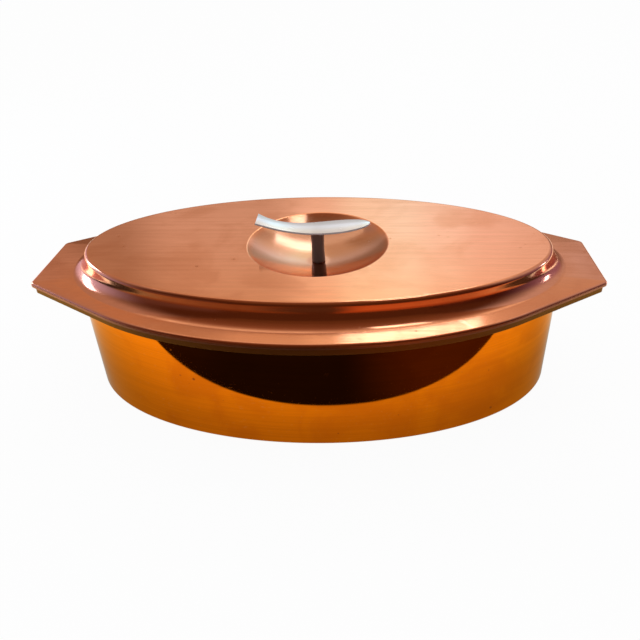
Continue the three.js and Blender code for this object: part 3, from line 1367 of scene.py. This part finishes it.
@dataclass
class Lid:
    """The pressed lid: an eared flange, a step up to a flat panel, and a round well in it."""

    workshop: Workshop
    pan: Pan
    sheet: float = 1.2 * MM
    edge_radius: float = 1.8 * MM
    lip_height: float = 3.2 * MM
    panel_inset_ends: float = 9.3 * MM
    panel_inset_sides: float = 13 * MM
    step_height: float = 15.4 * MM
    step_slope: float = math.radians(80)
    shoulder_radius: float = 3 * MM
    step_foot_radius: float = 11 * MM
    flange_fall: float = math.radians(7)
    panel_hold: float = 3 * MM
    well_radius: float = 49.4 * MM
    well_depth: float = 15 * MM
    well_rim_radius: float = 2.6 * MM
    seat_radius: float = 7.5 * MM
    hole_radius: float = 2.8 * MM
    lining_sheet: float = 0.4 * MM
    rim_clearance: float = 0.8 * MM
    rest_gap: float = 0.3 * MM
    well_steps: int = 24
    well_rim_steps: int = 8
    shoulder_steps: int = 10
    step_foot_steps: int = 14
    edge_steps: int = 8

    @property
    def flange_top(self) -> float:
        """Stack up the height of the flange's top.

        Returns:
            The height.
        """
        pan = self.pan
        under = pan.rim_height + pan.bond_gap + pan.lining_sheet + self.rest_gap
        return under + self.lining_sheet + pan.bond_gap + self.sheet

    @property
    def panel_top(self) -> float:
        """The height of the panel's top."""
        return self.flange_top + self.step_height

    @property
    def seat_top(self) -> float:
        """The height of the flat at the bottom of the well."""
        return self.panel_top - self.well_depth

    @property
    def outset(self) -> float:
        """How far the lid's edge lies outside the pan's."""
        return self.rim_clearance + self.sheet

    @property
    def crown_reach(self) -> float:
        """How far the flange's rounded edge lies outside the panel, at the dish's sides."""
        panel = self.pan.width / 2 - self.panel_inset_sides
        return RimOutline.half_width + self.outset - self.edge_radius - panel

    @property
    def step_run(self) -> float:
        """Work out how far out the step runs between the panel and the falling flange.

        Returns:
            The run, from the panel's edge to the foot of the step.
        """
        slope, fall = self.step_slope, self.flange_fall
        shoulder, foot = self.shoulder_radius, self.step_foot_radius
        arcs_run = shoulder * math.sin(slope) + foot * (math.sin(slope) - math.sin(fall))
        arcs_drop = shoulder * (1 - math.cos(slope)) + foot * (math.cos(fall) - math.cos(slope))
        drop = self.step_height - arcs_drop - (self.crown_reach - arcs_run) * math.tan(fall)
        return arcs_run + drop / (math.tan(slope) - math.tan(fall))

    @property
    def foot_top(self) -> float:
        """The height of the foot of the step, a little above the flange's edge."""
        return self.flange_top + (self.crown_reach - self.step_run) * math.tan(self.flange_fall)

    def well(self, depth: float) -> list[Ring]:
        """Make the round rings of the well, which is part of a sphere.

        Args:
            depth: How far the skin lies under the outer face.

        Returns:
            The rings, from the screw's hole to just past the well's rim.
        """
        rim_radius = self.well_rim_radius
        well_depth = self.well_depth
        lift = (self.well_radius**2 - self.seat_radius**2 - well_depth**2) / (2 * well_depth)
        sphere = math.hypot(self.well_radius, lift)
        centre_z = self.panel_top + lift
        seat_z = self.seat_top - depth
        rim_reach = math.sqrt((sphere + rim_radius) ** 2 - (lift + rim_radius) ** 2)
        rim_angle = math.asin(rim_reach / (sphere + rim_radius))
        seat_angle = math.acos((centre_z - seat_z) / (sphere + depth))
        bowl = arc(
            0.0,
            centre_z,
            sphere + depth,
            HALF_TURN - seat_angle,
            HALF_TURN - rim_angle,
            self.well_steps,
        )
        turn = arc(
            rim_reach,
            self.panel_top - rim_radius,
            rim_radius - depth,
            -rim_angle,
            0.0,
            self.well_rim_steps,
        )
        seat = straight((self.hole_radius, seat_z), bowl[0], 2, self.pan.hold)
        beyond = [(turn[-1][0] + hold, turn[-1][1]) for hold in (self.pan.hold, self.panel_hold)]
        section = [(self.hole_radius, seat_z), *seat, *bowl, *turn[1:], *beyond]
        return self.workshop.rings.ovals(0.0, 0.0, section)

    def step(self, depth: float) -> list[Ring]:
        """Make the oval rings of the shoulder, the step and its foot.

        Args:
            depth: How far the skin lies under the outer face.

        Returns:
            The rings, from the edge of the panel to just past the foot of the step.
        """
        shoulder = arc(
            0.0,
            self.panel_top - self.shoulder_radius,
            self.shoulder_radius - depth,
            0.0,
            self.step_slope,
            self.shoulder_steps,
        )
        fall = self.flange_fall
        foot = arc(
            self.step_run + self.step_foot_radius * math.sin(fall),
            self.foot_top + self.step_foot_radius * math.cos(fall),
            self.step_foot_radius + depth,
            HALF_TURN + self.step_slope,
            HALF_TURN + fall,
            self.step_foot_steps,
        )
        hold = self.pan.hold
        slope = straight(shoulder[-1], foot[0], 2, hold)
        before = [(shoulder[0][0] - flat, shoulder[0][1]) for flat in (self.panel_hold, hold)]
        beyond = (foot[-1][0] + hold, foot[-1][1] - hold * math.tan(fall))
        return self.workshop.rings.ovals(
            self.pan.length / 2 - self.panel_inset_ends,
            self.pan.width / 2 - self.panel_inset_sides,
            [*before, *shoulder, *slope, *foot, beyond],
        )

    def edge(self, depth: float) -> list[Ring]:
        """Make the rings of the flange's rounded edge and the lip that hooks over the pan's rim.

        Args:
            depth: How far the skin lies under the outer face.

        Returns:
            The rings, from the top of the flange to the cut edge of the lip.
        """
        radius = self.edge_radius
        fall = self.flange_fall
        turn = arc(
            self.outset - radius,
            self.flange_top - radius,
            radius - depth,
            fall,
            QUARTER_TURN,
            self.edge_steps,
        )
        bottom = self.flange_top - self.lip_height
        side = 1.0 if depth == 0 else -1.0
        cut = cut_edge(self.outset - depth, bottom, self.pan.cut_radius, side, self.pan.cut_steps)
        hold = self.pan.hold
        lip = straight(turn[-1], cut[0], 1, hold)
        inner = (turn[0][0] - hold, turn[0][1] + hold * math.tan(fall))
        return self.workshop.rings.rims([inner, *turn, *lip, *cut])

    def skin(self, depth: float) -> list[Ring]:
        """Make the rings of the well, the panel and the step."""
        return self.well(depth) + self.step(depth)

    def shell(self) -> bpy.types.Object:
        """Make the copper lid.

        Returns:
            The lid's piece.
        """
        upper = self.skin(0.0) + self.edge(0.0)
        lower = self.skin(self.sheet) + self.edge(self.sheet)
        return loft("lid_copper", [*upper, *reversed(lower)])

    def lining(self) -> bpy.types.Object:
        """Make the steel lining under the lid.

        Returns:
            The lining's piece.
        """
        back = self.sheet + self.pan.bond_gap
        face = back + self.lining_sheet
        reach = -self.pan.rim_edge_radius
        upper = [*self.skin(back), self.workshop.rings.rim(reach, self.flange_top - back)]
        lower = [*self.skin(face), self.workshop.rings.rim(reach, self.flange_top - face)]
        return loft("lid_steel_lining", [*upper, *reversed(lower)])

    def build(self) -> list[bpy.types.Object]:
        """Make and dress the lid's pieces.

        Returns:
            The pieces.
        """
        hand_over = self.workshop.hand_over
        return [
            hand_over(self.shell(), BRUSHED_COPPER, Body.LID, "lid_shell"),
            hand_over(self.lining(), SATIN_STEEL, Body.LID, "lid_lining"),
        ]


# Knob


def bezier(points: list[SectionPoint], share: float) -> SectionPoint:
    """Give the point at a share of the way along a Bezier curve of any order.

    Args:
        points: The points that pull the curve.
        share: The share of the way.

    Returns:
        The point on the curve.
    """
    while len(points) > 1:
        points = [
            (between(a[0], b[0], share), between(a[1], b[1], share))
            for a, b in zip(points, points[1:])
        ]
    return points[0]


@dataclass
class Knob:
    """The fish-shaped grip, bent from one strip, on its turned post."""

    workshop: Workshop
    lid: Lid
    tail_reach: float = 41.7 * MM
    nose_reach: float = 36.8 * MM
    lowest: float = -4 * MM
    thickness: float = 1.4 * MM
    edge_radius: float = 0.4 * MM
    tail_half_width: float = 8.2 * MM
    waist_half_width: float = 6.7 * MM
    waist_place: float = -31 * MM
    belly_half_width: float = 9.9 * MM
    belly_place: float = 12 * MM
    nose_blunt: float = 0.8 * MM
    back_fullness: float = 0.42
    head_fullness: float = 0.5
    snout_fullness: float = 0.62
    snout_taper: float = 0.08
    tail_rise: float = 7.4 * MM
    tail_curl: float = 2.4
    nose_rise: float = 4 * MM
    nose_curl: float = 1.4
    post_height: float = 24 * MM
    post_radius: float = 4.8 * MM
    post_waist_radius: float = 4.45 * MM
    post_edge: float = 0.5 * MM
    bore_depth: float = 12.1 * MM
    joint_gap: float = 0.3 * MM
    tail_steps: int = 14
    back_steps: int = 36
    head_steps: int = 36
    corner_steps: int = 3
    post_steps: int = 16
    tilt_probe: float = 0.01 * MM

    @property
    def middle(self) -> float:
        """The height of the strip's middle where the grip is lowest."""
        return self.lid.seat_top + self.post_height + self.joint_gap + self.thickness / 2

    def plan(self) -> list[SectionPoint]:
        """Walk along half of the fish's outline.

        Returns:
            Places along the grip with half of its width there, from the tail to the nose.
        """
        tail = (-self.tail_reach, self.tail_half_width)
        waist = (self.waist_place, self.waist_half_width)
        belly = (self.belly_place, self.belly_half_width)
        nose = (self.nose_reach, self.nose_blunt)
        flank = (belly[0] - waist[0]) * self.back_fullness
        snout = nose[0] - belly[0]
        tail_curve = [tail, (between(tail[0], waist[0], 0.5), waist[1]), waist]
        back_curve = [waist, (waist[0] + flank, waist[1]), (belly[0] - flank, belly[1]), belly]
        head_curve = [
            belly,
            (belly[0] + snout * self.head_fullness, belly[1]),
            (nose[0] - snout * self.snout_taper, belly[1] * self.snout_fullness),
            nose,
        ]
        stretches = (
            (self.tail_steps, tail_curve),
            (self.back_steps, back_curve),
            (self.head_steps, head_curve),
        )
        points = [tail]
        for steps, curve in stretches:
            points += [bezier(curve, step / steps) for step in range(1, steps + 1)]
        return points

    def rise(self, x: float) -> float:
        """Work out how far the bent strip has risen above its lowest line.

        Args:
            x: The place along the grip.

        Returns:
            The rise.
        """
        if x < self.lowest:
            share = (self.lowest - x) / (self.tail_reach + self.lowest)
            return self.tail_rise * share**self.tail_curl
        share = (x - self.lowest) / (self.nose_reach - self.lowest)
        return self.nose_rise * share**self.nose_curl

    def grip_section(self, x: float, half_width: float) -> Ring:
        """Make the strip's section at a place, with rounded edges.

        Args:
            x: The place along the grip.
            half_width: Half of the strip's width there.

        Returns:
            The section's ring.
        """
        probe = self.tilt_probe
        tilt = math.atan2(self.rise(x + probe) - self.rise(x - probe), 2 * probe)
        half = self.thickness / 2
        radius = min(self.edge_radius, half_width / 2)
        corners = []
        for start in (0.0, QUARTER_TURN, HALF_TURN, HALF_TURN + QUARTER_TURN):
            side = 1.0 if math.cos(start + QUARTER_TURN / 2) > 0 else -1.0
            face = 1.0 if math.sin(start + QUARTER_TURN / 2) > 0 else -1.0
            for step in range(self.corner_steps + 1):
                angle = start + QUARTER_TURN * step / self.corner_steps
                across = side * (half_width - radius) + radius * math.cos(angle)
                corners.append((across, face * (half - radius) + radius * math.sin(angle)))
        middle = self.middle + self.rise(x)
        return [
            Vector((x - up * math.sin(tilt), across, middle + up * math.cos(tilt)))
            for across, up in corners
        ]

    def grip(self) -> bpy.types.Object:
        """Make the grip.

        Returns:
            The grip's piece.
        """
        sections = [self.grip_section(x, half_width) for x, half_width in self.plan()]
        tail = Vector((-self.tail_reach, 0.0, self.middle + self.tail_rise))
        nose = Vector((self.nose_reach, 0.0, self.middle + self.nose_rise))
        return loft("grip_fish", [[tail], *sections, [nose]])

    def post_side(self) -> list[SectionPoint]:
        """Make the post's side, which is drawn in a little at mid height.

        Returns:
            The side's points, from the bottom up.
        """
        inset = self.post_radius - self.post_waist_radius
        side = []
        for step in range(self.post_steps + 1):
            share = step / self.post_steps
            height = between(self.post_edge, self.post_height - self.post_edge, share)
            side.append((self.post_radius - inset * math.sin(HALF_TURN * share), height))
        return side

    def post(self) -> bpy.types.Object:
        """Make the post, with the blind hole that takes the screw.

        Returns:
            The post's piece.
        """
        profile = [
            (0.0, self.bore_depth),
            (self.lid.hole_radius, self.bore_depth),
            (self.lid.hole_radius, 0.0),
            (self.post_radius - self.post_edge, 0.0),
            *self.post_side(),
            (self.post_radius - self.post_edge, self.post_height),
            (0.0, self.post_height),
        ]
        return turned("grip_post", profile, self.lid.seat_top)

    def build(self) -> list[bpy.types.Object]:
        """Make and dress the knob's pieces.

        Returns:
            The pieces.
        """
        hand_over = self.workshop.hand_over
        return [
            hand_over(self.grip(), BRUSHED_STEEL, Body.LID, "fish_grip"),
            hand_over(self.post(), POLISHED_STEEL, Body.LID, "knob_post"),
        ]


@dataclass
class Fixing:
    """The plain washer, spring washer and slotted screw that the frame already holds."""

    workshop: Workshop
    nodes: tuple[str, ...] = ("lid_washer", "spring_washer", "lid_screw")
    edge_break: float = 0.12 * MM
    edge_segments: int = 2

    def build(self) -> list[bpy.types.Object]:
        """Break the edges of the fixings and dress them.

        Returns:
            The pieces.
        """
        pieces = []
        for name in self.nodes:
            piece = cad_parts[name]
            self.workshop.dress(piece, PLATED_STEEL)
            bevel = piece.modifiers.new("edge_break", "BEVEL")
            bevel.width = self.edge_break
            bevel.segments = self.edge_segments
            bevel.limit_method = "ANGLE"
            pieces.append(piece)
        return pieces


# Studio


def aimed(place: Vector, direction: Vector, axis: str) -> Matrix:
    """Set a thing down so that one of its own axes points along a direction."""
    return Matrix.Translation(place) @ direction.to_track_quat(axis, "Y").to_matrix().to_4x4()


@dataclass(frozen=True)
class Softbox:
    """A soft lamp: where it hangs, what it points at, its size and how bright its face is."""

    name: str
    place: Triple
    target: Triple
    width: float
    height: float
    radiance: float
    colour: Colour = WHITE

    @property
    def power(self) -> float:
        """The lamp's power: each part of its face sends out pi times its radiance."""
        return self.radiance * math.pi * self.width * self.height

    def hang(self) -> None:
        """Put the lamp into the scene."""
        lamp = bpy.data.lights.new(self.name, "AREA")
        lamp.shape = "RECTANGLE"
        lamp.size = self.width
        lamp.size_y = self.height
        lamp.energy = self.power
        lamp.color = self.colour
        holder = bpy.data.objects.new(self.name, lamp)
        place = Vector(self.place)
        holder.matrix_world = aimed(place, Vector(self.target) - place, "-Z")
        bpy.context.scene.collection.objects.link(holder)


def plain_surface(name: str) -> tuple[bpy.types.Material, Shading]:
    """Make a material with nothing but its output.

    Args:
        name: The material's name.

    Returns:
        The material and its shading.
    """
    made = bpy.data.materials.new(name)
    made.use_nodes = True
    made.node_tree.nodes.clear()
    return made, Shading(made.node_tree)


def stage_plane(
    name: str,
    width: float,
    height: float,
    place: Vector,
    facing: Vector,
    material: bpy.types.Material,
) -> bpy.types.Object:
    """Put a flat rectangle on the stage.

    Args:
        name: Its name.
        width: Its size along its own X.
        height: Its size along its own Y.
        place: Where its middle is.
        facing: The way that it faces.
        material: Its material.

    Returns:
        The new object.
    """
    across = width / 2
    up = height / 2
    corners = [(-across, -up, 0), (across, -up, 0), (across, up, 0), (-across, up, 0)]
    mesh = bpy.data.meshes.new(name)
    mesh.from_pydata(corners, [], [(0, 1, 2, 3)])
    mesh.materials.append(material)
    plane = bpy.data.objects.new(name, mesh)
    plane.matrix_world = aimed(place, facing, "Z")
    bpy.context.scene.collection.objects.link(plane)
    return plane


# The tones of the studio's unlit parts.
DARK = (0.012, 0.010, 0.008)
DIM = (0.075, 0.024, 0.0085)


class Side(Enum):
    """The sides of the tent of cards, by the way that each card faces."""

    BACK = (0.0, -1.0, 0.0)
    FRONT = ACROSS
    LEFT = ALONG
    RIGHT = (-1.0, 0.0, 0.0)
    TOP = (0.0, 0.0, -1.0)
    FLOOR = UPWARD


@dataclass(frozen=True)
class Tent:
    """The tent of cards round the dish. It reaches further forward than back."""

    half_width: float = 1.4
    back: float = 1.6
    front: float = -2.2
    top: float = 2.2
    floor_lift: float = 0.5 * MM

    def panel(self, side: Side) -> tuple[Vector, float, float]:
        """Work out where the card on one side hangs, and its size.

        Args:
            side: The side.

        Returns:
            The card's middle, its width and its height.
        """
        depth = self.back - self.front
        middle = (self.back + self.front) / 2
        half_top = self.top / 2
        across = 2 * self.half_width
        panels = {
            Side.BACK: ((0.0, self.back, half_top), across, self.top),
            Side.FRONT: ((0.0, self.front, half_top), across, self.top),
            Side.LEFT: ((-self.half_width, middle, half_top), depth, self.top),
            Side.RIGHT: ((self.half_width, middle, half_top), depth, self.top),
            Side.TOP: ((0.0, middle, self.top), across, depth),
            Side.FLOOR: ((0.0, middle, self.floor_lift), across, depth),
        }
        place, width, height = panels[side]
        return Vector(place), width, height


@dataclass(frozen=True)
class Card:
    """A glowing studio card that is only seen in the polish: painted light and shade round the
    dish.

    Its tones change softly along one of the dish's own directions: each stop is a place there and
    the colour that the card shows. A second run of tones, taken upwards, is laid over the first.
    """

    name: str
    side: Side
    tones: Tones
    direction: Triple = ALONG
    upward: Tones = ((0.0, WHITE),)

    def tone(self, shading: Shading) -> Socket:
        """Run through the card's tones along its direction and upwards."""
        along = shading.ramp(self.direction, self.tones)
        return shading.scaled(along, shading.ramp(UPWARD, self.upward))

    def hang(self) -> None:
        """Put the card into the scene, where only gloss sees it."""
        material, shading = plain_surface(self.name)
        glow = shading.node("Emission")
        shading.feed(glow.inputs["Color"], self.tone(shading))
        shading.feed(shading.node("OutputMaterial").inputs["Surface"], glow.outputs[0])
        place, width, height = Tent().panel(self.side)
        card = stage_plane(self.name, width, height, place, Vector(self.side.value), material)
        card.visible_camera = False
        card.visible_diffuse = False
        card.visible_transmission = False
        card.visible_shadow = False


@dataclass(frozen=True)
class TableCard(Card):
    """The glowing card on the floor: a pale table with painted pools of light towards its ends and
    the dish's painted shadow at its foot, and a dark floor past it with painted pools of light near
    the ends.

    The table's edge is slightly curved, so it is part of a large circle.
    """

    # The dish's painted shadow on the table: its oval, its tone at the foot and the reaches where
    # it fades out.
    half_length: float = 190 * MM
    half_width: float = 92 * MM
    foot_shadow_level: float = 0.42
    foot_reach: float = 0.9
    open_reach: float = 1.75
    edge_middle: Triple = (-0.0304, 1.3272, 0.0)
    edge_radius: float = 1.458
    edge_fade: float = 2 * MM
    floor_tones: Tones = ((0.0, DARK),)
    # Painted pools of light on the dark floor, along the dish.
    floor_light_pools: Tones = ((0.0, WHITE),)

    def tone(self, shading: Shading) -> Socket:
        """Darken the table at the dish's foot with a painted shadow of the dish, and change to the
        floor's tones past its edge.

        Args:
            shading: The card's shading.

        Returns:
            The colour's socket.
        """
        place = shading.node("NewGeometry").outputs["Position"]
        squeeze = (1 / self.half_length, 1 / self.half_width, 0.0)
        reach = self.level_length(shading, shading.scaled(place, squeeze))
        # Painted shadow of the dish on the table, darkest at its foot.
        painted_foot_shadow = shading.spread(reach, self.foot_reach, self.open_reach, self.foot_shadow_level, 1.0)
        table = shading.scaled(super().tone(shading), shading.triple(painted_foot_shadow))
        out = self.level_length(shading, shading.vector("SUBTRACT", place, self.edge_middle))
        past = shading.spread(out, self.edge_radius, self.edge_radius + self.edge_fade, 0.0, 1.0)
        floor = shading.ramp(ACROSS, self.floor_tones)
        floor = shading.scaled(floor, shading.ramp(self.direction, self.floor_light_pools))
        return shading.mix(past, table, floor)

    @staticmethod
    def level_length(shading: Shading, line: Socket) -> Socket:
        """Measure the level part of a line on the floor."""
        return shading.length(shading.scaled(line, LEVEL))


def shown_white(shading: Shading) -> Socket:
    """Tell where a ray shows the background itself: to the camera, in gloss or through glass.

    Args:
        shading: The shading of the background's material.

    Returns:
        A socket with 1 for such a ray and 0 for any other.
    """
    path = shading.node("LightPath")
    seen = shading.math("MAXIMUM", path.outputs["Is Camera Ray"], path.outputs["Is Glossy Ray"])
    return shading.math("MAXIMUM", seen, path.outputs["Is Transmission Ray"])


SOFTBOXES = (
    Softbox(
        "window_softbox",
        place=(0.21, 0.85, 1.1),
        target=(0.21, 0.85, 0.0),
        width=0.46,
        height=0.36,
        radiance=2.0,
    ),
    Softbox(
        "high_softbox",
        place=(0.22, 0.16, 1.1),
        target=(0.22, 0.16, 0.0),
        width=0.2,
        height=0.2,
        radiance=2.8,
        colour=(1.0, 0.98, 0.92),
    ),
    Softbox(
        "left_strip",
        place=(-0.95, 0.32, 0.34),
        target=(-0.15, 0.0, 0.1),
        width=0.2,
        height=0.45,
        radiance=8.0,
        colour=(0.62, 0.70, 1.0),
    ),
    Softbox(
        "right_strip",
        place=(0.95, 0.22, 0.3),
        target=(0.15, 0.0, 0.1),
        width=0.08,
        height=0.2,
        radiance=7.0,
        colour=(0.80, 0.78, 1.0),
    ),
)
BACK_TONES = (
    (-1.3, (0.54, 0.37, 0.29)),
    (-0.86, (0.45, 0.33, 0.26)),
    (-0.64, (0.69, 0.56, 0.49)),
    (-0.34, (0.70, 0.58, 0.51)),
    (-0.13, (1.02, 0.94, 0.88)),
    (0.02, (1.12, 1.28, 1.26)),
    (0.16, (1.12, 1.36, 1.42)),
    (0.30, (1.08, 1.15, 1.20)),
    (0.46, (0.98, 0.90, 0.90)),
    (0.62, (0.90, 0.80, 0.78)),
    (1.0, (0.60, 0.50, 0.50)),
)
BACK_UPWARD = (
    (0.35, (0.42, 0.36, 0.31)),
    (0.6, (0.51, 0.44, 0.38)),
    (0.78, (1.02, 1.05, 1.12)),
    (0.95, WHITE),
    (1.15, (1.0, 0.90, 0.72)),
    (1.35, (1.0, 0.84, 0.61)),
    (1.75, (0.98, 0.79, 0.57)),
    (2.2, (0.95, 0.76, 0.54)),
)
CEILING_TONES = (
    (-1.6, (0.12, 0.045, 0.016)),
    (-0.6, (0.17, 0.068, 0.03)),
    (0.1, (0.23, 0.10, 0.05)),
    (0.65, (0.42, 0.25, 0.16)),
    (1.1, (0.90, 0.68, 0.50)),
)
FLOOR_TONES = (
    (-0.6, DIM),
    (-0.3, (0.12, 0.06, 0.03)),
    (-0.215, (0.13, 0.11, 0.08)),
    (-0.203, DARK),
)
# Painted pools of light on the dark floor, towards the ends of the dish.
FLOOR_LIGHT_POOLS = (
    (-0.25, (2.6, 2.2, 1.6)),
    (-0.08, WHITE),
    (0.02, WHITE),
    (0.12, (6.0, 3.6, 2.0)),
    (0.35, (5.0, 3.2, 2.0)),
)
LEFT_TONES = ((-0.8, DIM), (0.6, (0.45, 0.30, 0.24)))
LEFT_UPWARD = ((0.3, (1.65, 2.25, 4.6)), (1.0, WHITE))
RIGHT_TONES = ((-0.8, DIM), (0.6, (0.56, 0.43, 0.40)))
RIGHT_UPWARD = ((0.3, (0.55, 0.40, 0.68)), (1.0, WHITE))
FRONT_TONES = ((0.0, DIM),)
# The table is brighter towards the ends of the dish: painted pools of light.
TABLE_TONES = (
    (-0.4, (1.5, 1.45, 1.3)),
    (-0.1, (0.98, 0.98, 0.95)),
    (0.1, (0.95, 0.95, 0.92)),
    (0.4, (1.3, 1.3, 1.2)),
)
CARDS = (
    TableCard(
        "table_card", Side.FLOOR, TABLE_TONES, floor_tones=FLOOR_TONES, floor_light_pools=FLOOR_LIGHT_POOLS
    ),
    Card("back_card", Side.BACK, BACK_TONES, upward=BACK_UPWARD),
    Card("front_card", Side.FRONT, FRONT_TONES),
    Card("left_card", Side.LEFT, LEFT_TONES, ACROSS, LEFT_UPWARD),
    Card("right_card", Side.RIGHT, RIGHT_TONES, ACROSS, RIGHT_UPWARD),
    Card("ceiling_card", Side.TOP, CEILING_TONES, ACROSS),
)


@dataclass(frozen=True)
class Studio:
    """The pale floor, the soft lamps and the glowing cards that the polish mirrors."""

    floor_size: float = 40.0
    floor_colour: Colour = (0.9, 0.9, 0.9)
    floor_whiteness: float = 0.95
    sky_level: float = 0.75

    def floor(self) -> None:
        """Lay the pale floor, which keeps the dish's shadow."""
        material, shading = plain_surface("pale_floor")
        matt = shading.node("BsdfDiffuse")
        matt.inputs["Color"].default_value = (*self.floor_colour, 1.0)
        white = shading.times(shown_white(shading), self.floor_whiteness)
        blend = shading.node("MixShader")
        shading.feed(blend.inputs["Fac"], white)
        shading.feed(blend.inputs[1], matt.outputs[0])
        shading.feed(blend.inputs[2], shading.node("Emission").outputs[0])
        shading.feed(shading.node("OutputMaterial").inputs["Surface"], blend.outputs[0])
        stage_plane("floor", self.floor_size, self.floor_size, Vector(), Vector(UPWARD), material)

    def sky(self) -> None:
        """Light the scene evenly from all round, before a white background."""
        world = bpy.data.worlds.new("soft_sky")
        world.use_nodes = True
        bpy.context.scene.world = world
        shading = Shading(world.node_tree)
        background = world.node_tree.nodes["Background"]
        background.inputs["Color"].default_value = (*WHITE, 1.0)
        strength = shading.spread(shown_white(shading), 0.0, 1.0, self.sky_level, 1.0)
        shading.feed(background.inputs["Strength"], strength)

    def build(self) -> None:
        """Set the studio up."""
        self.floor()
        self.sky()
        for item in (*SOFTBOXES, *CARDS):
            item.hang()
        bpy.context.scene.view_settings.view_transform = "Standard"


def main() -> None:
    """Build the camera, the studio and the dish, and report each piece."""
    logging.basicConfig(level=logging.INFO, format="%(message)s")
    PhotoCamera().place()
    Studio().build()
    workshop = Workshop()
    pan = Pan(workshop)
    lid = Lid(workshop, pan)
    for assembly in (pan, lid, Knob(workshop, lid), Fixing(workshop)):
        for piece in assembly.build():
            faces = len(piece.data.polygons)
            LOG.info("%s: %s with %d faces", type(assembly).__name__, piece.name, faces)


if __name__ == "__main__":
    main()
